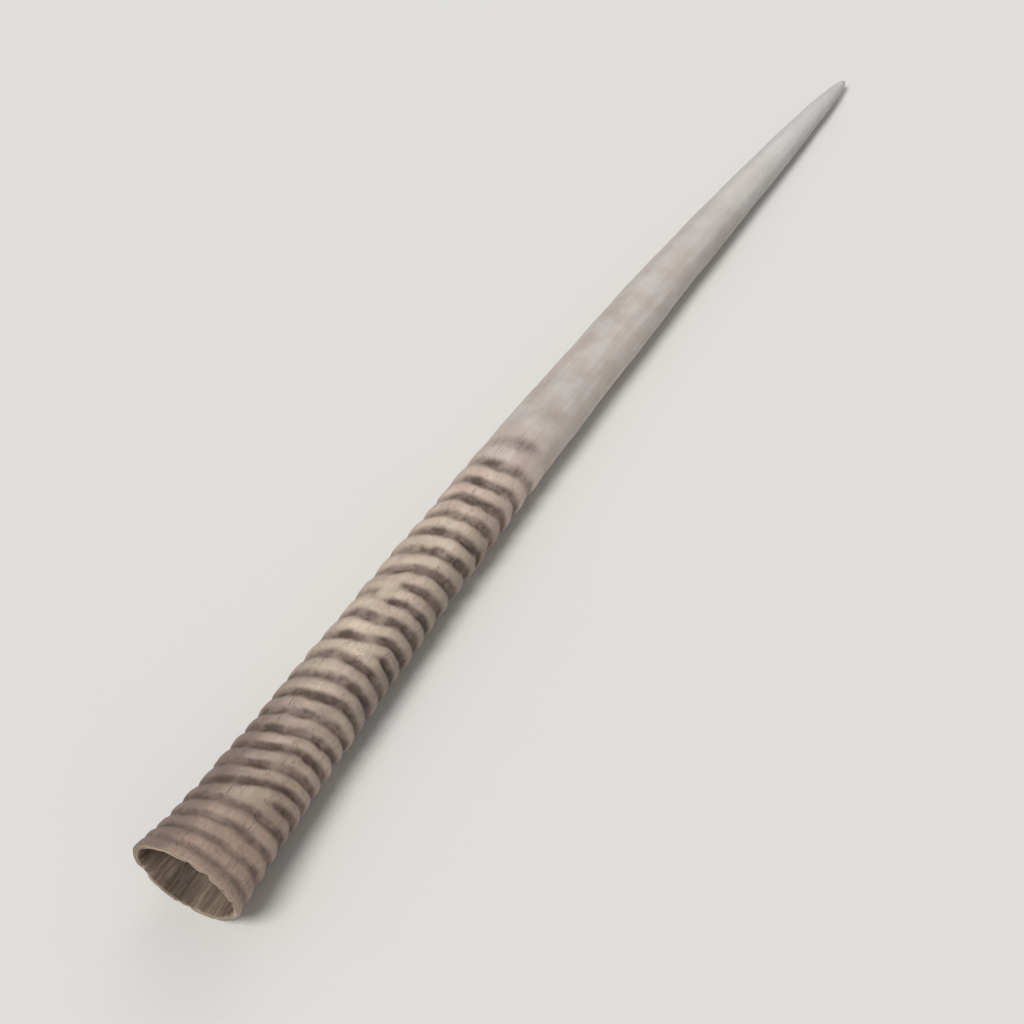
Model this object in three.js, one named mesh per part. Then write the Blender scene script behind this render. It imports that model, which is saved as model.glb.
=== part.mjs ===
// Gemsbok horn: the hollow sheath of one left horn, off its bone core, lying on its inner side.
// Millimetres. +X runs from the open base towards the tip, +Y towards the horn's front, which is
// the outside of its curve, and +Z up. The origin is under the middle of the horn, on the surface
// that it lies on.
import * as THREE from 'three';
import { mergeVertices } from 'three/addons/utils/BufferGeometryUtils.js';

// Driving dimensions
const hornLength = 700; // along the middle line, from the base rim to the tip
const turning = THREE.MathUtils.degToRad(6); // the tip's direction against the base's
const shaftRadius = 23; // half of the front-to-back width, before the base flare
const taperPower = 0.45; // how late the shaft narrows towards the tip
const flareRadius = 5.2; // what the base flare adds at the rim
const flareLength = 55; // how soon the flare dies away
const sideRatio = 0.92; // side-to-side width over front-to-back width
const straightFrom = 0.76; // share of the length from which the middle line runs straight on

// Rings: 27 rounded ridges between 28 grooves, closer at the base and fading above
const ringCount = 27;
const firstGroove = 6.5; // from the rim
const firstPitch = 8.55;
const pitchGrowth = 0.23; // added to the pitch at each ring
const tailRings = 5; // the last rings draw apart
const tailGrowth = 0.84; // extra pitch, times the square of the ring's place in the tail
const grooveDepth = 1.9;
const firstDepthShare = 0.4; // the lowest grooves are shallow
const lastDepthShare = 0.22; // and the highest fade out
const fullDepthRing = 7; // from here up the grooves have their full depth
const fadingRings = 4; // the fading starts this many rings below the last groove
const ringTilt = THREE.MathUtils.degToRad(16); // each ring is lower at the front
const tiltStart = 45; // the tilt grows from none at the flat rim to full here

// Hollow for the bone core
const rimWall = 3.4;
const hollowDepth = 330;
const hollowBulge = 1.6; // shape of the hollow's cone: full below, then closing
const hollowClosing = 0.8;

// Facets
const segmentsAround = 20;
const sectionsPerRing = 4;
const tipSections = 14;
const hollowSections = 12;
const halfSegment = Math.PI / segmentsAround;

const clamp01 = (value) => THREE.MathUtils.clamp(value, 0, 1);

// Front-to-back half width over the ring crests, at a distance along the middle line
function crestRadius(along) {
  const shaft = shaftRadius * Math.pow(1 - along / hornLength, taperPower);
  return shaft + flareRadius * Math.exp(-along / flareLength) * (1 - along / hornLength);
}

// Height of the middle line over the surface. Most of the horn lies flat, and the last part runs
// straight on, so the tip stands clear.
function middleHeight(along) {
  const start = straightFrom * hornLength;
  const slope = crestRadius(start) - crestRadius(start - 1);
  return (crestRadius(Math.min(along, start)) + slope * Math.max(0, along - start)) * sideRatio;
}

// Half width of the hollow
function hollowRadius(along) {
  const closing = Math.pow(1 - Math.pow(along / hollowDepth, hollowBulge), hollowClosing);
  return (crestRadius(along) - rimWall) * closing;
}

// Distance from the rim to a groove, by its number from 0. A number between two is a ridge's flank.
function grooveStation(ring) {
  const growing = (pitchGrowth * ring * (ring - 1)) / 2;
  const tail = Math.max(0, ring - (ringCount - tailRings));
  return firstGroove + firstPitch * ring + growing + (tailGrowth * Math.pow(tail, 3)) / 3;
}

function ringDepth(ring) {
  const rise = firstDepthShare + (1 - firstDepthShare) * clamp01(ring / fullDepthRing);
  const fading = THREE.MathUtils.smoothstep(ring, ringCount - fadingRings, ringCount);
  return grooveDepth * rise * (1 - (1 - lastDepthShare) * fading);
}

// Outer profile, as [distance along, half width] pairs from the rim to the tip
function outerProfile() {
  const profile = [[0, crestRadius(0)]];
  for (let step = 0; step < ringCount * sectionsPerRing; step++) {
    const ring = step / sectionsPerRing;
    const along = grooveStation(ring);
    const groove = Math.pow(Math.cos(Math.PI * ring), 4); // narrow groove, broad ridge
    profile.push([along, crestRadius(along) - ringDepth(ring) * groove]);
  }
  const lastGroove = grooveStation(ringCount);
  for (let step = 0; step < tipSections; step++) {
    const left = Math.pow(1 - step / tipSections, 2); // sections close up towards the tip
    const along = hornLength - (hornLength - lastGroove) * left;
    const depth = step === 0 ? ringDepth(ringCount) : 0;
    profile.push([along, crestRadius(along) - depth]);
  }
  profile.push([hornLength, 0]);
  return profile;
}

// Hollow's profile, from its closed end on the axis down to the rim
function hollowProfile() {
  const profile = [];
  for (let step = hollowSections; step >= 0; step--) {
    const along = (hollowDepth * step) / hollowSections;
    profile.push([along, step === hollowSections ? 0 : hollowRadius(along)]);
  }
  return profile;
}

// Puts a point of the straight lathed horn in its place on the curved, lying one.
// front: towards +Y, side: towards +Z, both from the middle line.
function placePoint(along, front, side) {
  const tilt = Math.tan(ringTilt) * clamp01(along / tiltStart);
  const station = Math.min(hornLength, along - tilt * front);
  const curveRadius = hornLength / turning;
  const angle = station / curveRadius;
  const lift = middleHeight(Math.max(0, along)) * Math.cos(halfSegment);
  return new THREE.Vector3(
    curveRadius * Math.sin(angle) + front * Math.sin(angle),
    curveRadius * (Math.cos(angle) - 1) + front * Math.cos(angle),
    lift + side * sideRatio,
  );
}

// A lathe makes flat, empty triangles where its profile meets the axis. They are left out.
function dropEmptyTriangles(geometry) {
  const index = geometry.getIndex();
  const kept = [];
  for (let i = 0; i < index.count; i += 3) {
    const [a, b, c] = [index.getX(i), index.getX(i + 1), index.getX(i + 2)];
    if (a !== b && b !== c && c !== a) kept.push(a, b, c);
  }
  geometry.setIndex(kept);
  return geometry;
}

function hornGeometry() {
  // From the tip down the outside, across the rim and up the hollow, so that faces point outwards
  const profile = [...hollowProfile(), ...outerProfile()].reverse();
  const points = profile.map(([along, radius]) => new THREE.Vector2(radius, along));
  const lathed = new THREE.LatheGeometry(points, segmentsAround, halfSegment);
  lathed.deleteAttribute('normal');
  lathed.deleteAttribute('uv');
  const geometry = dropEmptyTriangles(mergeVertices(lathed, 1e-4));
  const position = geometry.getAttribute('position');
  for (let i = 0; i < position.count; i++) {
    const placed = placePoint(position.getY(i), position.getX(i), position.getZ(i));
    position.setXYZ(i, placed.x, placed.y, placed.z);
  }
  geometry.computeBoundingBox();
  const middle = geometry.boundingBox.getCenter(new THREE.Vector3());
  geometry.translate(-middle.x, -middle.y, -geometry.boundingBox.min.z);
  geometry.computeVertexNormals();
  return geometry;
}

const keratin = new THREE.MeshStandardMaterial({ color: 0x9a8a7b, roughness: 0.55, metalness: 0 });

const horn = new THREE.Mesh(hornGeometry(), keratin);
horn.name = 'horn';

const gemsbokHorn = new THREE.Group();
gemsbokHorn.name = 'gemsbok_horn';
gemsbokHorn.add(horn);

export default gemsbokHorn;
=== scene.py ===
import math

import bpy
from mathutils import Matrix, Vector


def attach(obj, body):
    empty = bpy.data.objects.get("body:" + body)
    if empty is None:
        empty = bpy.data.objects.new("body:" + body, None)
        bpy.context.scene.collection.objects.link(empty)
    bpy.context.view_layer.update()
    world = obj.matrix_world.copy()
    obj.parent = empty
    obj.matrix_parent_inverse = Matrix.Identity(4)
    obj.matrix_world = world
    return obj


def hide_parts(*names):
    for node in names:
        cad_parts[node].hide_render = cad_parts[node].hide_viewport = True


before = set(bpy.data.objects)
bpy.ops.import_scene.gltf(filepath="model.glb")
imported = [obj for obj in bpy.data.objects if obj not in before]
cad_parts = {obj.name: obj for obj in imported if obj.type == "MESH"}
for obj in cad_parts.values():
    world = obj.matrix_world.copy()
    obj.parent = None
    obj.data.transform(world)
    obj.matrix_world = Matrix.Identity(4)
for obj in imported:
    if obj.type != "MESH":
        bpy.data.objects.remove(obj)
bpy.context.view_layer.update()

mm = 0.001
print("frame loaded")


# Small helpers for node trees

def addNode(tree, kind, **settings):
    node = tree.nodes.new(kind)
    for name, value in settings.items():
        setattr(node, name, value)
    return node


def feed(tree, socket, value):  # value is another node's output, or a plain number, colour or vector
    if isinstance(value, bpy.types.NodeSocket):
        tree.links.new(value, socket)
    else:
        socket.default_value = value


def calc(tree, operation, *values):
    node = addNode(tree, "ShaderNodeMath", operation=operation)
    for socket, value in zip(node.inputs, values):
        feed(tree, socket, value)
    return node.outputs[0]


def total(tree, *values):
    result = values[0]
    for value in values[1:]:
        result = calc(tree, "ADD", result, value)
    return result


def product(tree, *values):
    result = values[0]
    for value in values[1:]:
        result = calc(tree, "MULTIPLY", result, value)
    return result


def minus(tree, value, taken):
    return calc(tree, "SUBTRACT", value, taken)


def over(tree, value, divisor):
    return calc(tree, "DIVIDE", value, divisor)


def power(tree, value, exponent):
    return calc(tree, "POWER", value, exponent)


def atLeast(tree, value, least):
    return calc(tree, "MAXIMUM", value, least)


def atMost(tree, value, most):
    return calc(tree, "MINIMUM", value, most)


def span(tree, value, low, high, atLow=0.0, atHigh=1.0, soft=True):  # clamped ramp between two values
    node = addNode(tree, "ShaderNodeMapRange", interpolation_type="SMOOTHSTEP" if soft else "LINEAR")
    for socket, item in zip(node.inputs, (value, low, high, atLow, atHigh)):
        feed(tree, socket, item)
    return node.outputs[0]


def between(tree, amount, first, second):
    node = addNode(tree, "ShaderNodeMix", data_type="FLOAT")
    feed(tree, node.inputs[0], amount)
    feed(tree, node.inputs[2], first)
    feed(tree, node.inputs[3], second)
    return node.outputs[0]


def vector(tree, x, y, z):
    node = addNode(tree, "ShaderNodeCombineXYZ")
    for socket, item in zip(node.inputs, (x, y, z)):
        feed(tree, socket, item)
    return node.outputs[0]


def parts(tree, value):  # a vector's x, y and z
    node = addNode(tree, "ShaderNodeSeparateXYZ")
    feed(tree, node.inputs[0], value)
    return list(node.outputs)


def vectorCalc(tree, operation, *values):
    node = addNode(tree, "ShaderNodeVectorMath", operation=operation)
    for socket, value in zip(node.inputs, values):
        feed(tree, socket, value)
    return node.outputs[0]


def scaled(tree, place, factors):
    return vectorCalc(tree, "MULTIPLY", place, factors)


def noise(tree, place, scale, detail=2.0, roughness=0.5):
    node = addNode(tree, "ShaderNodeTexNoise")
    feed(tree, node.inputs["Vector"], place)
    feed(tree, node.inputs["Scale"], scale)
    feed(tree, node.inputs["Detail"], detail)
    feed(tree, node.inputs["Roughness"], roughness)
    return node.outputs[0]


def swing(tree, place, scale, detail):  # noise about zero, roughly -1 to 1
    return calc(tree, "MULTIPLY_ADD", noise(tree, place, scale, detail), 4.0, -2.0)


def tone(hexColour):  # a display colour as the linear colour that nodes take
    shares = [(hexColour >> shift & 255) / 255 for shift in (16, 8, 0)]
    linear = [c / 12.92 if c < 0.04045 else ((c + 0.055) / 1.055) ** 2.4 for c in shares]
    return (*linear, 1.0)


# The horn: one tree draws the sheath from the hollow's end, over the rim, to the tip

hornShape = {
    "Length": 0.700,  # along the middle line, rim to tip
    "Turning": math.radians(6),  # the tip's direction against the base's
    "Shaft Radius": 23 * mm,
    "Taper Power": 0.45,
    "Flare Radius": 5.2 * mm,
    "Flare Length": 55 * mm,
    "Side Ratio": 0.92,  # side-to-side width over front-to-back width
    "Straight From": 0.76,  # share of the length from which the middle line runs straight on
    "Rings": 27.0,
    "First Groove": 6.5 * mm,
    "First Pitch": 8.55 * mm,
    "Pitch Growth": 0.23 * mm,
    "Tail Growth": 0.84 * mm,  # how the last rings draw apart
    "Tail Rings": 5.0,
    "Groove Depth": 2.0 * mm,
    "Groove Sharpness": 3.2,  # higher for narrower grooves between broader ridges
    "Stain Sharpness": 2.5,  # lower than that, so the dirt reaches past the groove
    "Groove Skew": 0.05,  # makes the ridges steeper towards the base
    "Groove Unevenness": 0.34,  # how far the depth comes and goes along a groove
    "Scar Flattening": 0.7,
    "Ring Waver": 0.14,  # how far a ring strays from its place, in ring pitches
    "Crest Relief": 0.30 * mm,  # ridges differ in height
    "Ring Tilt": math.radians(16),
    "Tilt Start": 45 * mm,
    "Hollow Depth": 0.330,
    "Hollow Bulge": 1.6,  # shape of the hollow's cone: full below, then closing
    "Hollow Closing": 0.8,
    "Rim Wall": 3.4 * mm,
    "Rim Rounding": 0.8 * mm,
    "Rim Nicks": 2.2 * mm,
    "Ragged Length": 14 * mm,  # how far the rim's nicks pull the surface
    "Fibre Relief": 0.12 * mm,
    "Growth Relief": 0.17 * mm,
    "Hollow Relief": 0.28 * mm,
    "Dents": 0.35 * mm,
    "Relief Fades From": 0.86,  # share of the length from which the relief dies away to the tip
    "Seed": 4.0,
}
shaftPitch = 33 * mm  # the ring number counts on over the smooth shaft, one for each of these
hornMesh = {
    "around": 160,
    "hollowRows": 60,
    "rimRows": 8,
    "ringRows": 380,
    "tipRows": 108,
    "hollowCrowding": 1.15,  # higher for rows closer together at the rim than deep down
    "tipCrowding": 1.6,  # higher for rows closer together at the tip
    "rimFlatness": 5.0,  # higher for a flatter rim between tighter rounded edges
    "mergeWithin": 0.004 * mm,
    "outerFinishFrom": 0.93,  # share of the way over the rim, from the hollow
}
hornGrain = {  # noise detail per metre, along the horn and across it
    "fibres": (32, 290, 290),
    "growth": (270, 40, 40),
    "dents": 26.0,
}
forkTightness = 0.24  # lower for a bend that reaches more rings
ringForks = [  # a groove's number, and the two angles between which it is missing
    (4.0, -0.55, 2.2),
    (13.0, -0.60, 2.6),
    (16.4, -0.15, 1.9),
    (8.6, -2.9, -2.1),
    (20.0, -2.7, -1.9),
]
scarNarrowness = 2.2  # higher for patches that reach less far round the horn
ringScars = [  # groove number and angle of a smooth pale patch, and how many rings it spans
    (4.0, -0.42, 0.6),
    (13.0, -0.45, 0.6),
    (16.4, 0.0, 0.5),
    (4.0, 2.1, 0.5),
    (13.0, 2.5, 0.6),
    (8.6, -2.5, 0.6),
    (20.0, -2.3, 0.6),
]


def makeTree(name, values):
    tree = bpy.data.node_groups.new(name, "GeometryNodeTree")
    for label, value in values.items():
        kind = "NodeSocketMaterial" if isinstance(value, bpy.types.Material) else "NodeSocketFloat"
        tree.interface.new_socket(name=label, in_out="INPUT", socket_type=kind)
    tree.interface.new_socket(name="Geometry", in_out="OUTPUT", socket_type="NodeSocketGeometry")
    return tree


def crestRadius(tree, size, along):  # front-to-back half width over the ring crests
    left = atLeast(tree, minus(tree, 1.0, over(tree, along, size["Length"])), 0.0)
    shaft = product(tree, size["Shaft Radius"], power(tree, left, size["Taper Power"]))
    fall = calc(tree, "EXPONENT", over(tree, product(tree, along, -1.0), size["Flare Length"]))
    return total(tree, shaft, product(tree, size["Flare Radius"], fall, left))


def middleHeight(tree, size, along):  # most of the horn lies flat, and the tip stands clear
    step = 1 * mm
    start = product(tree, size["Length"], size["Straight From"])
    before = minus(tree, start, step)
    fall = minus(tree, crestRadius(tree, size, start), crestRadius(tree, size, before))
    beyond = atLeast(tree, minus(tree, along, start), 0.0)
    lying = crestRadius(tree, size, atMost(tree, along, start))
    return product(tree, total(tree, lying, product(tree, fall, beyond, 1 / step)), size["Side Ratio"])


def hollowRadius(tree, size, along):
    share = over(tree, along, size["Hollow Depth"])
    left = atLeast(tree, minus(tree, 1.0, power(tree, share, size["Hollow Bulge"])), 0.0)
    wide = minus(tree, crestRadius(tree, size, along), size["Rim Wall"])
    return product(tree, wide, power(tree, left, size["Hollow Closing"]))


def grooveStation(tree, size, ring):  # how far up the horn a ring's groove lies
    pairs = product(tree, ring, minus(tree, ring, 1.0), 0.5)
    tail = atLeast(tree, total(tree, minus(tree, ring, size["Rings"]), size["Tail Rings"]), 0.0)
    return total(
        tree,
        size["First Groove"],
        product(tree, size["First Pitch"], ring),
        product(tree, size["Pitch Growth"], pairs),
        product(tree, size["Tail Growth"], power(tree, tail, 3.0), 1 / 3),
    )


def forkTurn(tree, rise, angle, side):  # a full turn round one fork, alike on both edges of the seam
    aside = product(tree, minus(tree, angle, side), 0.5)
    upward = product(tree, calc(tree, "COSINE", aside), calc(tree, "SINH", rise))
    sideways = product(tree, calc(tree, "SINE", aside), calc(tree, "COSH", rise))
    return calc(tree, "ARCTAN2", upward, sideways)


def forkPhase(tree, ring, angle):  # slips the ring count by one between a missing groove's two ends
    slips = []
    for place, first, second in ringForks:
        rise = product(tree, minus(tree, ring, place), forkTightness)
        turns = [forkTurn(tree, rise, angle, side) for side in (second, first)]
        slips.append(product(tree, minus(tree, *turns), 0.5 / math.pi))
        slips.append(product(tree, calc(tree, "TANH", rise), (first - second) / (4 * math.pi)))
    return total(tree, *slips)


def ringScar(tree, ring, angle):  # 1 where the rings are flat and pale
    marks = []
    for place, side, reach in ringScars:
        rise = product(tree, minus(tree, ring, place), 1 / reach)
        aside = product(tree, minus(tree, angle, side), scarNarrowness)
        gap = total(tree, product(tree, rise, rise), product(tree, aside, aside))
        marks.append(span(tree, gap, 0.05, 1.5, 1.0, 0.0))
    return atMost(tree, total(tree, *marks), 1.0)


def sheathGrid(tree):  # a flat grid, one row for each step along the sheath
    rows = sum(count for name, count in hornMesh.items() if name.endswith("Rows")) + 1
    grid = addNode(tree, "GeometryNodeMeshGrid")
    for name, value in (("Size X", 1.0), ("Size Y", 1.0),
                        ("Vertices X", hornMesh["around"] + 1), ("Vertices Y", rows)):
        grid.inputs[name].default_value = value
    x, y, _ = parts(tree, addNode(tree, "GeometryNodeInputPosition").outputs[0])
    angle = product(tree, x, 2 * math.pi)  # 0 on top, positive to the front
    row = product(tree, total(tree, y, 0.5), rows - 1)
    return grid.outputs["Mesh"], angle, row


def zoned(tree, at, hollow, rim, outside):  # one of three values, by the row
    return between(tree, at["onRings"], between(tree, at["onRim"], hollow, rim), outside)


# The rows run up from the hollow's closed end, over the rim, past the rings and on to the tip
def placeRows(tree, size, angle, row):
    rimRow = hornMesh["hollowRows"]
    ringRow = rimRow + hornMesh["rimRows"]
    tipRow = ringRow + hornMesh["ringRows"]
    edges = {"onRim": rimRow + 0.5, "onRings": ringRow - 0.5, "onTip": tipRow + 0.5}
    at = {name: calc(tree, "GREATER_THAN", row, edge) for name, edge in edges.items()}
    hollowShare = minus(tree, 1.0, product(tree, row, 1 / rimRow))
    rimShare, ringShare, tipShare = (
        product(tree, minus(tree, row, first), 1 / hornMesh[count])
        for first, count in ((rimRow, "rimRows"), (ringRow, "ringRows"), (tipRow, "tipRows"))
    )

    # rows lie closer together towards the tip and, in the hollow, towards the rim
    lowestRing = over(tree, minus(tree, size["Rim Rounding"], size["First Groove"]), size["First Pitch"])
    ringSpread = product(tree, ringShare, minus(tree, size["Rings"], lowestRing))
    ringPlace = total(tree, lowestRing, ringSpread)
    ringEnd = grooveStation(tree, size, size["Rings"])
    tipShare = atLeast(tree, atMost(tree, tipShare, 1.0), 0.0)
    tipLeft = power(tree, minus(tree, 1.0, tipShare), hornMesh["tipCrowding"])
    tipZone = minus(tree, size["Length"], product(tree, minus(tree, size["Length"], ringEnd), tipLeft))
    hollowLeft = power(tree, atLeast(tree, hollowShare, 0.0), hornMesh["hollowCrowding"])
    hollowZone = between(tree, hollowLeft, size["Rim Rounding"], size["Hollow Depth"])
    rimSide = calc(tree, "ABSOLUTE", calc(tree, "MULTIPLY_ADD", rimShare, 2.0, -1.0))  # 1 at both edges
    rimZone = product(tree, size["Rim Rounding"], power(tree, rimSide, hornMesh["rimFlatness"]))
    belowTip = zoned(tree, at, hollowZone, rimZone, grooveStation(tree, size, ringPlace))
    along = between(tree, at["onTip"], belowTip, tipZone)
    beyond = product(tree, minus(tree, along, ringEnd), 1 / shaftPitch)
    ring = between(tree, at["onTip"], ringPlace, total(tree, size["Rings"], beyond))
    sine, cosine = calc(tree, "SINE", angle), calc(tree, "COSINE", angle)
    lookup = vector(tree, total(tree, product(tree, ring, 0.33), size["Seed"]),
                    product(tree, sine, 1.2), product(tree, cosine, 1.2))
    at.update(hollowShare=hollowShare, rimShare=rimShare, along=along, ring=ring,
              angle=angle, sine=sine, cosine=cosine, aroundRing=lookup)
    return at


def ringCount(tree, size, at):  # half turns: the grooves lie at the whole numbers of pi
    ring, around = at["ring"], at["aroundRing"]
    waver = total(tree, product(tree, swing(tree, around, 0.7, 1.0), size["Ring Waver"]),
                  product(tree, swing(tree, around, 2.4, 0.0), size["Ring Waver"], 0.25))
    count = product(tree, total(tree, ring, waver, forkPhase(tree, ring, at["angle"])), math.pi)
    leaning = power(tree, calc(tree, "SINE", count), 2.0)
    return total(tree, count, product(tree, leaning, size["Groove Skew"], math.pi))


def addGrooves(tree, size, at):  # masks, about 0 to 1, for the grooves' depth, their dirt and the scars
    ring, sine = at["ring"], at["sine"]
    lastRing = size["Rings"]
    valley = calc(tree, "ABSOLUTE", calc(tree, "COSINE", ringCount(tree, size, at)))
    rise = span(tree, ring, -1.2, 7.0, 0.34, 1.0, soft=False)  # the lowest grooves are shallow
    stainRise = span(tree, ring, -1.0, 4.0, 0.5, 1.0)
    stainFall = span(tree, ring, 24.2, 25.6, 1.0, 0.68)
    fade = product(tree, span(tree, ring, total(tree, lastRing, -4.0), lastRing, 1.0, 0.22),
                   span(tree, ring, lastRing, total(tree, lastRing, 3.5), 1.0, 0.0))
    worn = product(tree, span(tree, ring, 9.0, 15.0, 0.9, 0.5), span(tree, ring, 21.0, 24.0, 1.0, 0.65))
    front = span(tree, sine, 0.1, 0.9, 1.0, worn)  # the upper rings are worn down along the front
    lastRings = span(tree, ring, 22.5, 25.0, 1.0, 0.3)  # the last rings hardly reach the back
    back = span(tree, sine, -0.95, -0.5, lastRings, 1.0)
    scar = ringScar(tree, ring, at["angle"])
    flat = minus(tree, 1.0, product(tree, scar, size["Scar Flattening"]))
    uneven = product(tree, swing(tree, at["aroundRing"], 2.3, 2.0), size["Groove Unevenness"])
    kept = product(tree, fade, front, back, flat, total(tree, 1.0, uneven))
    groove = product(tree, power(tree, valley, size["Groove Sharpness"]), rise, kept)
    stain = product(tree, power(tree, valley, size["Stain Sharpness"]), stainRise, stainFall, kept)
    at.update(rise=rise, groove=groove, stain=stain, scar=product(tree, scar, rise))


def sheathRadius(tree, size, at):
    ring, along, sine, cosine = at["ring"], at["along"], at["sine"], at["cosine"]
    crest = crestRadius(tree, size, along)
    straight = vector(tree, along, product(tree, crest, sine), product(tree, crest, cosine))
    fibrePlace = scaled(tree, straight, hornGrain["fibres"])
    growthPlace = scaled(tree, straight, hornGrain["growth"])
    perRing = vector(tree, product(tree, ring, 0.9), sine, cosine)
    ringed = span(tree, ring, total(tree, size["Rings"], -1.0), total(tree, size["Rings"], 4.0), 1.0, 0.15)
    fibres = product(tree, swing(tree, fibrePlace, 1.0, 2.0), size["Fibre Relief"])
    growth = product(tree, swing(tree, growthPlace, 1.0, 2.0), size["Growth Relief"], ringed)
    dents = product(tree, swing(tree, straight, hornGrain["dents"], 1.0), size["Dents"])
    crests = product(tree, swing(tree, perRing, 1.0, 1.0), size["Crest Relief"], ringed, at["rise"])
    reliefEnd = product(tree, size["Length"], size["Relief Fades From"])
    slim = span(tree, along, reliefEnd, size["Length"], 1.0, 0.0, soft=False)
    relief = product(tree, total(tree, fibres, growth, dents, crests), slim)
    outside = minus(tree, total(tree, crest, relief), product(tree, at["groove"], size["Groove Depth"]))
    hollowRough = product(tree, swing(tree, fibrePlace, 0.65, 2.0), size["Hollow Relief"],
                          span(tree, at["hollowShare"], 0.8, 1.0, 1.0, 0.0))
    inside = total(tree, hollowRadius(tree, size, along), hollowRough)
    acrossRim = between(tree, atLeast(tree, at["rimShare"], 0.0), inside, outside)
    radius = zoned(tree, at, inside, acrossRim, outside)
    return product(tree, radius, calc(tree, "LESS_THAN", along, size["Length"]))


def bendPlace(tree, size, at, toFront, toSide):  # along the horn's curve, each ring lower at the front
    along = at["along"]
    tilt = product(tree, calc(tree, "TANGENT", size["Ring Tilt"]),
                   span(tree, along, 0.0, size["Tilt Start"], soft=False))
    nicks = span(tree, noise(tree, at["aroundRing"], 2.6, 3.0), 0.5, 0.8, 0.0, size["Rim Nicks"])
    ragged = product(tree, nicks, span(tree, along, 0.0, size["Ragged Length"], 1.0, 0.0))
    station = total(tree, along, product(tree, tilt, toFront, -1.0), ragged)
    station = atMost(tree, station, size["Length"])
    curveRadius = over(tree, size["Length"], size["Turning"])
    bend = over(tree, station, curveRadius)
    reach = total(tree, curveRadius, toFront)
    return vector(
        tree,
        product(tree, reach, calc(tree, "SINE", bend)),
        minus(tree, product(tree, reach, calc(tree, "COSINE", bend)), curveRadius),
        total(tree, middleHeight(tree, size, along), product(tree, toSide, size["Side Ratio"])),
    )


def storeValue(tree, geometry, label, value, kind="FLOAT"):
    node = addNode(tree, "GeometryNodeStoreNamedAttribute", data_type=kind, domain="POINT")
    feed(tree, node.inputs["Geometry"], geometry)
    node.inputs["Name"].default_value = label
    feed(tree, [s for s in node.inputs if s.name == "Value" and s.enabled][0], value)
    return node.outputs[0]


def change(tree, kind, geometry, **inputs):  # one more geometry node in the row
    node = addNode(tree, kind)
    feed(tree, node.inputs[0], geometry)
    for label, value in inputs.items():
        feed(tree, node.inputs[label], value)
    return node.outputs[0]


def standOnSurface(tree, geometry):  # middle of X and Y at the origin, lowest point on the surface
    box = addNode(tree, "GeometryNodeBoundBox")
    feed(tree, box.inputs[0], geometry)
    toMiddle = vectorCalc(tree, "MULTIPLY_ADD", box.outputs["Max"], (-0.5, -0.5, 0))
    offset = vectorCalc(tree, "MULTIPLY_ADD", box.outputs["Min"], (-0.5, -0.5, -1), toMiddle)
    return change(tree, "GeometryNodeSetPosition", geometry, Offset=offset)


def buildHornTree(values):
    tree = makeTree("hornSheathShape", values)
    size = addNode(tree, "NodeGroupInput").outputs
    mesh, angle, row = sheathGrid(tree)
    at = placeRows(tree, size, angle, row)
    addGrooves(tree, size, at)
    radius = sheathRadius(tree, size, at)
    toFront, toSide = product(tree, radius, at["sine"]), product(tree, radius, at["cosine"])

    # what the finishes read: the place on the straight horn, which has no seam, and the masks
    mesh = storeValue(tree, mesh, "straight", vector(tree, at["along"], toFront, toSide), "FLOAT_VECTOR")
    for label in ("stain", "ring", "scar"):
        mesh = storeValue(tree, mesh, label, at[label])
    mesh = storeValue(tree, mesh, "rimShare", zoned(tree, at, 0.0, at["rimShare"], 1.0))

    place = bendPlace(tree, size, at, toFront, toSide)
    mesh = change(tree, "GeometryNodeSetPosition", mesh, Position=place)
    mesh = change(tree, "GeometryNodeMergeByDistance", mesh, Distance=hornMesh["mergeWithin"])
    mesh = change(tree, "GeometryNodeFlipFaces", standOnSurface(tree, mesh))
    mesh = change(tree, "GeometryNodeSetShadeSmooth", mesh)
    mesh = change(tree, "GeometryNodeRealizeInstances", mesh)
    mesh = change(tree, "GeometryNodeSetMaterial", mesh, Material=size["Outer Finish"])
    rim = addNode(tree, "GeometryNodeInputNamedAttribute", data_type="FLOAT")
    rim.inputs["Name"].default_value = "rimShare"
    hollow = calc(tree, "LESS_THAN", rim.outputs[0], hornMesh["outerFinishFrom"])
    mesh = change(tree, "GeometryNodeSetMaterial", mesh, Selection=hollow, Material=size["Hollow Finish"])
    feed(tree, addNode(tree, "NodeGroupOutput").inputs[0], mesh)
    return tree


def meshFromTree(name, tree, values):
    piece = bpy.data.objects.new(name, bpy.data.meshes.new(name))
    bpy.context.scene.collection.objects.link(piece)
    modifier = piece.modifiers.new("shape", "NODES")
    modifier.node_group = tree
    for item in tree.interface.items_tree:
        if item.item_type == "SOCKET" and item.in_out == "INPUT":
            modifier[item.identifier] = values[item.name]
    graph = bpy.context.evaluated_depsgraph_get()
    shaped = piece.evaluated_get(graph)
    mesh = bpy.data.meshes.new_from_object(shaped, preserve_all_data_layers=True, depsgraph=graph)
    piece.modifiers.clear()
    if mesh.materials[0] is None:
        mesh.materials.pop(index=0)  # the bare grid's empty slot
    piece.data = mesh
    return piece


# Finishes

def makeGroup(name, inputs, outputs):  # a shader group with named float or vector inputs
    group = bpy.data.node_groups.new(name, "ShaderNodeTree")
    for label, value in inputs.items():
        kind = "NodeSocketVector" if value is None else "NodeSocketFloat"
        socket = group.interface.new_socket(name=label, in_out="INPUT", socket_type=kind)
        if value is not None:
            socket.default_value = value
    for label in outputs:
        group.interface.new_socket(name=label, in_out="OUTPUT", socket_type="NodeSocketFloat")
    return group, addNode(group, "NodeGroupInput").outputs, addNode(group, "NodeGroupOutput").inputs


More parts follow.
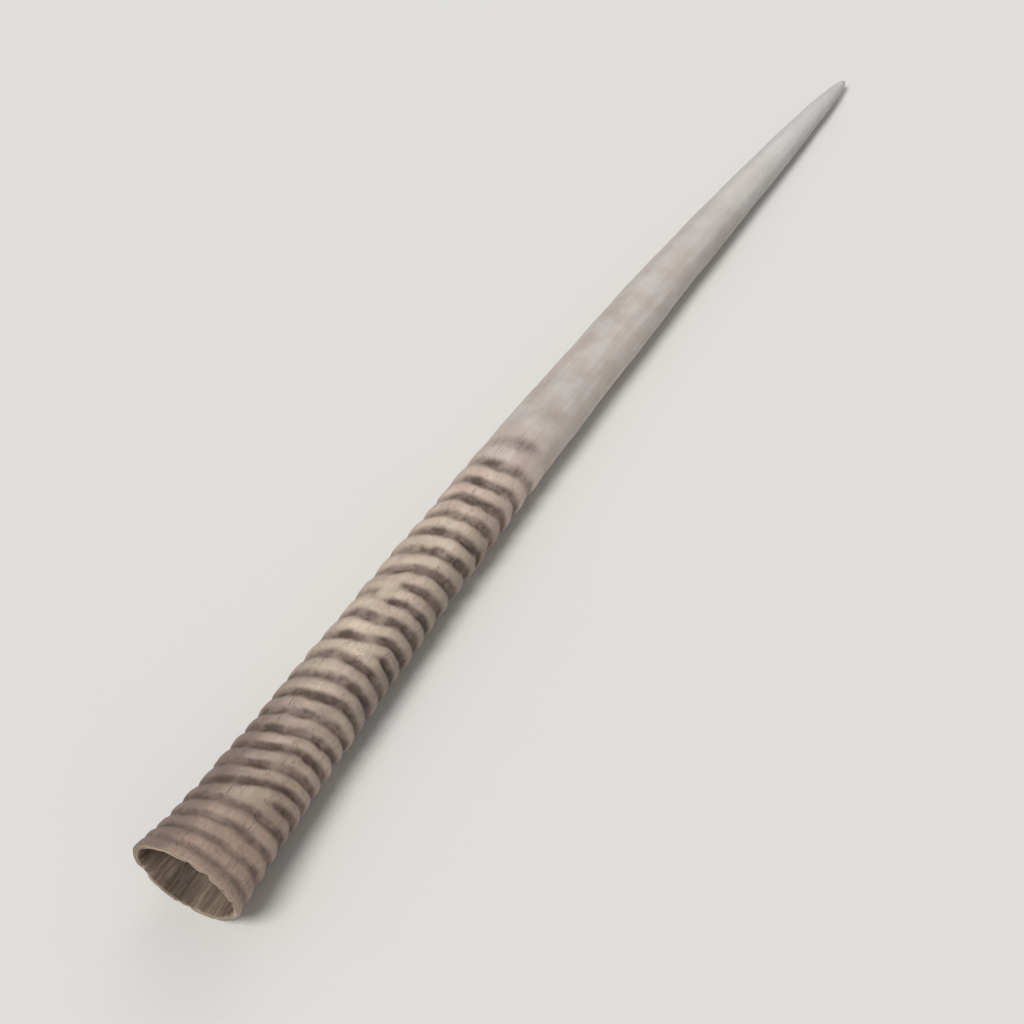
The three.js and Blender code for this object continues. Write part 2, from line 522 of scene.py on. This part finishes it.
def useGroup(tree, group, **values):
    node = addNode(tree, "ShaderNodeGroup", node_tree=group)
    for label, value in values.items():
        feed(tree, node.inputs[label.replace("_", " ")], value)
    return node.outputs


def blend(tree, amount, first, second, mode="MIX"):
    node = addNode(tree, "ShaderNodeMix", data_type="RGBA", blend_type=mode)
    feed(tree, node.inputs[0], amount)
    feed(tree, node.inputs[6], first)
    feed(tree, node.inputs[7], second)
    return node.outputs[2]


def shaded(tree, colour, brightness):  # the colour times a mask, or a number, near 1
    return blend(tree, 1.0, colour, vector(tree, brightness, brightness, brightness), "MULTIPLY")


def attribute(tree, label, vectorOut=False):
    node = addNode(tree, "ShaderNodeAttribute", attribute_type="GEOMETRY", attribute_name=label)
    return node.outputs["Vector" if vectorOut else "Fac"]


def fibreGroup():  # lengthwise keratin fibres and the splits between them, and growth lines across
    group, given, out = makeGroup("keratinFibres", {"Place": None, "Fineness": 1.0, "Line Share": 0.5},
                                  ("Streaks", "Lines", "Splits", "Height"))

    def grain(perMetre, detail, roughness):
        return noise(group, scaled(group, given["Place"], perMetre), given["Fineness"], detail, roughness)

    streaks = grain((16, 1000, 1000), 4.0, 0.62)
    broad = grain((8, 240, 240), 3.0, 0.55)
    lines = grain((1000, 70, 70), 4.0, 0.6)
    cracks = span(group, grain((30, 1200, 1200), 2.0, 0.5), 0.63, 0.70)
    where = span(group, grain((50, 110, 110), 3.0, 0.6), 0.46, 0.60)
    splits = product(group, cracks, where)
    feed(group, out["Streaks"], between(group, 0.45, streaks, broad))
    feed(group, out["Lines"], lines)
    feed(group, out["Splits"], splits)
    height = between(group, given["Line Share"], between(group, 0.4, streaks, broad), lines)
    feed(group, out["Height"], minus(group, height, product(group, splits, 0.5)))
    return group


def grimeGroup():  # soft cloudy staining, small dark specks and chipped pits
    group, given, out = makeGroup("grime", {"Place": None, "Cloud Size": 40.0, "Speck Size": 420.0},
                                  ("Clouds", "Specks", "Pits"))
    place = given["Place"]
    clouds = noise(group, scaled(group, place, (0.45, 1, 1)), given["Cloud Size"], 4.0, 0.6)
    cluster = span(group, noise(group, place, 90.0, 2.0), 0.44, 0.62)
    specks = span(group, noise(group, place, given["Speck Size"], 3.0, 0.6), 0.60, 0.70)
    chips = span(group, noise(group, scaled(group, place, (0.4, 1, 1)), 1000.0, 2.0, 0.6), 0.58, 0.66)
    feed(group, out["Clouds"], clouds)
    feed(group, out["Specks"], product(group, specks, cluster))
    feed(group, out["Pits"], product(group, chips, cluster))
    return group


def startMaterial(name, **settings):
    material = bpy.data.materials.new(name)
    material.use_nodes = True
    shader = material.node_tree.nodes["Principled BSDF"]
    for label, value in settings.items():
        shader.inputs[label.replace("_", " ")].default_value = value
    return material, material.node_tree, shader


def roughen(tree, shader, height, distance, strength):
    node = addNode(tree, "ShaderNodeBump")
    node.inputs["Strength"].default_value = strength
    node.inputs["Distance"].default_value = distance
    feed(tree, node.inputs["Height"], height)
    feed(tree, shader.inputs["Normal"], node.outputs[0])


hornColours = {
    "base": 0xa18878,  # brownish zone at the rim
    "ridge": 0xcbb2a4,
    "ridgeWarm": 0xd5c1ac,
    "groove": 0x4b3b33,
    "grooveDusty": 0x75635a,
    # stain and painted shade on the front of the low rings
    "frontStainAndShade": 0x75655b,
    "shaft": 0xc9c1bb,
    "shaftWarm": 0xbfb2a8,
    # the pale tip, partly painted sheen
    "tip": 0xcfcdcb,
    "scar": 0xd2c1a9,
    "grime": 0x5c4c40,
}


def ridgeColour(tree, colour, ring, toFront, toSide, clouds):
    body = blend(tree, span(tree, clouds, 0.36, 0.66), colour["ridge"], colour["ridgeWarm"])
    body = blend(tree, span(tree, ring, 0.0, 10.5), colour["base"], body)

    # each ridge has its own tone
    lookup = vector(tree, product(tree, ring, 1.15),
                    product(tree, toFront, 34.0), product(tree, toSide, 34.0))
    ringTone = noise(tree, lookup, 1.0)
    body = shaded(tree, body, span(tree, ringTone, 0.28, 0.72, 0.84, 1.14, soft=False))

    # the rings a little above the base are darker; painted shade darkens the front, and low down the front
    # is stained as well as shaded, most of all there
    lowTone = span(tree, ring, 2.0, 5.0, 1.0, 0.5)
    middleTone = span(tree, ring, 21.0, 24.0, span(tree, ring, 10.0, 15.0, 0.78, 0.96), 1.0)
    body = shaded(tree, body, atLeast(tree, lowTone, middleTone))
    # painted shade towards the front edge
    body = shaded(tree, body, span(tree, toFront, 0.0, 15 * mm, 1.0, 0.83))
    # stain and painted shade on the front of the low rings
    lowFrontStainAndShade = product(tree, span(tree, toFront, -2 * mm, 15 * mm), span(tree, ring, 7.0, 14.0, 0.78, 0.0))
    return blend(tree, lowFrontStainAndShade, body, colour["frontStainAndShade"])


def ringBackStainAndShade(tree, ring, toFront):  # painted shade with some stain: the middle rings are darker at the back
    backStainAndShadeTone = atLeast(tree, span(tree, ring, 6.0, 13.0, 1.0, 0.55), span(tree, ring, 20.0, 24.0, 0.55, 1.0))
    return span(tree, toFront, -21 * mm, -7 * mm, backStainAndShadeTone, 1.0)


def shaftColour(tree, colour, ring, place, toFront, toSide, clouds):
    mottle = noise(tree, place, 62.0, 3.0)
    body = blend(tree, span(tree, mottle, 0.36, 0.64), colour["shaft"], colour["shaftWarm"])
    # paler and greyer towards the tip: the horn's own tone and painted sheen
    tipToneAndSheen = span(tree, ring, 28.0, 37.0)
    body = blend(tree, product(tree, tipToneAndSheen, 0.85), body, colour["tip"])
    body = shaded(tree, body, span(tree, clouds, 0.3, 0.7, 0.93, 1.05, soft=False))

    # painted shade: a little darker towards the front and the back edges
    sideways = calc(tree, "SINE", calc(tree, "ARCTAN2", toFront, toSide))
    body = shaded(tree, body, span(tree, sideways, -0.2, 0.5, 1.0, 0.91))
    shaftBackEdgeShade = span(tree, ring, 27.5, 31.5, 1.0, 0.82)
    return shaded(tree, body, span(tree, sideways, -0.98, -0.6, shaftBackEdgeShade, 1.0))


def grooveDirt(tree, colour, place, stain, grain):  # ragged at its edge, dusty in places
    ragged = total(tree, calc(tree, "MULTIPLY_ADD", grain["Lines"], 0.3, -0.15),
                   calc(tree, "MULTIPLY_ADD", grain["Streaks"], 0.7, -0.35))
    ragged = product(tree, ragged, span(tree, stain, 0.02, 0.3))
    dark = span(tree, total(tree, stain, ragged), 0.0, 0.9)
    dusty = span(tree, noise(tree, place, 110.0, 4.0, 0.62), 0.40, 0.62)
    return dark, blend(tree, dusty, colour["groove"], colour["grooveDusty"])


def hornFinish(fibres, grime):
    material, tree, shader = startMaterial("hornKeratin", Coat_Weight=0.08, Coat_Roughness=0.35, IOR=1.54)
    colour = {name: tone(value) for name, value in hornColours.items()}
    place = attribute(tree, "straight", True)
    ring, stain, scar = (attribute(tree, label) for label in ("ring", "stain", "scar"))
    _, toFront, toSide = parts(tree, place)
    grain = useGroup(tree, fibres, Place=place, Fineness=1.0, Line_Share=0.3)
    dirt = useGroup(tree, grime, Place=place, Cloud_Size=34.0, Speck_Size=380.0)
    ringed = span(tree, ring, 22.0, 26.6, 1.0, 0.0)
    # painted shade with some stain, darker at the back of the middle rings
    backStainAndShade = ringBackStainAndShade(tree, ring, toFront)

    # the ridges take the painted back shade
    ridges = shaded(tree, ridgeColour(tree, colour, ring, toFront, toSide, dirt["Clouds"]), backStainAndShade)
    shaft = shaftColour(tree, colour, ring, place, toFront, toSide, dirt["Clouds"])
    body = blend(tree, ringed, shaft, ridges)
    body = blend(tree, product(tree, scar, 0.45), body, colour["scar"])
    streakDepth = between(tree, ringed, 0.12, 0.24)
    streaks = span(tree, grain["Streaks"], 0.28, 0.72, -1.0, 1.0, soft=False)
    body = shaded(tree, body, calc(tree, "MULTIPLY_ADD", streaks, streakDepth, 0.99))

    dark, dirtColour = grooveDirt(tree, colour, place, stain, grain)
    thin = span(tree, noise(tree, place, 62.0, 4.0, 0.6), 0.34, 0.54, 0.62, 1.0)
    # the groove dirt takes the same painted back shade
    body = blend(tree, product(tree, dark, thin, 0.95), body, shaded(tree, dirtColour, backStainAndShade))
    splits = product(tree, grain["Splits"], between(tree, ringed, 0.12, 0.45))
    specks = product(tree, dirt["Specks"], between(tree, ringed, 0.12, 0.5))
    body = blend(tree, atLeast(tree, specks, splits), body, colour["grime"])
    feed(tree, shader.inputs["Base Color"], body)

    dull = total(tree, between(tree, ringed, 0.50, 0.54), product(tree, dark, 0.25),
                 product(tree, dirt["Pits"], 0.1), calc(tree, "MULTIPLY_ADD", grain["Streaks"], 0.24, -0.12))
    feed(tree, shader.inputs["Roughness"], dull)
    height = total(tree, product(tree, grain["Height"], between(tree, ringed, 0.4, 1.5)),
                   product(tree, dirt["Pits"], -0.4, ringed))
    roughen(tree, shader, height, 0.45 * mm, 0.9)
    return material


hollowColours = {
    "wall": 0x66564a,
    "wallPale": 0x8f7f6e,
    "cut": 0xb0a08a,  # the bare ring at the rim
    "cutDark": 0x7a6a5a,
    "deep": 0x2c241e,
}


def hollowFinish(fibres, grime):
    material, tree, shader = startMaterial("hollowKeratin", Specular_IOR_Level=0.35)
    colour = {name: tone(value) for name, value in hollowColours.items()}
    place = attribute(tree, "straight", True)
    rim = attribute(tree, "rimShare")
    grain = useGroup(tree, fibres, Place=place, Fineness=0.6, Line_Share=0.15)
    dirt = useGroup(tree, grime, Place=place, Cloud_Size=60.0, Speck_Size=300.0)
    wall = blend(tree, span(tree, grain["Streaks"], 0.36, 0.64), colour["wall"], colour["wallPale"])
    wall = blend(tree, span(tree, dirt["Clouds"], 0.45, 0.7, 0.0, 0.6), wall, colour["deep"])
    acrossRim = vector(tree, product(tree, rim, 9.0), product(tree, dirt["Clouds"], 2.0), 0.0)
    layers = noise(tree, acrossRim, 1.0, 3.0, 0.6)  # the cut ring shows the horn's growth layers
    cut = blend(tree, span(tree, layers, 0.42, 0.6), colour["cutDark"], colour["cut"])
    onRim = span(tree, rim, 0.02, 0.12)
    marks = atLeast(tree, product(tree, dirt["Specks"], 0.5), product(tree, grain["Splits"], 0.5))
    body = blend(tree, marks, blend(tree, onRim, wall, cut), colour["deep"])
    feed(tree, shader.inputs["Base Color"], body)
    feed(tree, shader.inputs["Roughness"], total(tree, 0.68, product(tree, grain["Streaks"], 0.2)))
    height = total(tree, grain["Height"], product(tree, layers, onRim, 0.6))
    roughen(tree, shader, height, 0.5 * mm, 0.8)
    return material


fibres, grime = fibreGroup(), grimeGroup()
hornValues = dict(hornShape)
hornValues["Outer Finish"] = hornFinish(fibres, grime)
hornValues["Hollow Finish"] = hollowFinish(fibres, grime)
print("finishes made")
hornSheath = meshFromTree("horn_sheath", buildHornTree(hornValues), hornValues)
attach(hornSheath, "root")
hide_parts("horn")
print("horn sheath:", len(hornSheath.data.polygons), "faces")


# Floor, light and camera

studio = {
    "floorHalf": 25.0,
    "floorColour": 0xdddbd7,
    "backdropColour": 0xdddbd8,  # what the camera sees past the floor
    "skyStrength": 0.31,
    "cameraPlace": (-0.6105, -0.2997, 0.7423),
    "cameraTurn": 28.37,  # degrees, the way the camera looks, from +X towards +Y
    "cameraDrop": 50.63,  # degrees below the horizon
    "lens": 63.0,
}
suns = [  # name, where it shines from, how wide it looks in degrees, strength
    ("key", (-0.75, 0.18, 1.2), 24, 2.4),
    ("fill", (-0.6, -1.3, 0.9), 50, 0.10),
    ("back", (1.3, 0.5, 0.9), 40, 0.35),
]


def makeFloor():
    half = studio["floorHalf"]
    corners = [(-half, -half, 0), (half, -half, 0), (half, half, 0), (-half, half, 0)]
    mesh = bpy.data.meshes.new("floor")
    mesh.from_pydata(corners, [], [(0, 1, 2, 3)])
    floor = bpy.data.objects.new("floor", mesh)
    bpy.context.scene.collection.objects.link(floor)
    material, _, shader = startMaterial("paleFloor", Roughness=0.75)
    shader.inputs["Base Color"].default_value = tone(studio["floorColour"])
    mesh.materials.append(material)


def makeSuns():
    for name, place, width, strength in suns:
        data = bpy.data.lights.new(name, "SUN")
        data.angle = math.radians(width)
        data.energy = strength
        lamp = bpy.data.objects.new(name, data)
        lamp.location = place
        lamp.rotation_euler = Vector(place).to_track_quat("Z", "Y").to_euler()
        bpy.context.scene.collection.objects.link(lamp)


def makeWorld():  # white light all round, with a backdrop like the floor where the camera sees past it
    world = bpy.data.worlds.new("studio")
    world.use_nodes = True
    tree = world.node_tree
    sky = tree.nodes["Background"]
    sky.inputs["Color"].default_value = (1, 1, 1, 1)
    sky.inputs["Strength"].default_value = studio["skyStrength"]
    backdrop = addNode(tree, "ShaderNodeBackground")
    backdrop.inputs["Color"].default_value = tone(studio["backdropColour"])
    seen = addNode(tree, "ShaderNodeMixShader")
    feed(tree, seen.inputs[0], addNode(tree, "ShaderNodeLightPath").outputs["Is Camera Ray"])
    feed(tree, seen.inputs[1], sky.outputs[0])
    feed(tree, seen.inputs[2], backdrop.outputs[0])
    feed(tree, tree.nodes["World Output"].inputs["Surface"], seen.outputs[0])
    bpy.context.scene.world = world


def makeCamera():
    turn, drop = math.radians(studio["cameraTurn"]), math.radians(studio["cameraDrop"])
    level = math.cos(drop)
    looking = Vector((level * math.cos(turn), level * math.sin(turn), -math.sin(drop)))
    data = bpy.data.cameras.new("camera")
    data.lens = studio["lens"]
    camera = bpy.data.objects.new("camera", data)
    camera.location = studio["cameraPlace"]
    camera.rotation_euler = looking.to_track_quat("-Z", "Y").to_euler()
    bpy.context.scene.collection.objects.link(camera)
    bpy.context.scene.camera = camera


makeFloor()
makeSuns()
makeWorld()
makeCamera()
bpy.context.scene.view_settings.view_transform = "Standard"
print("floor, light and camera set")
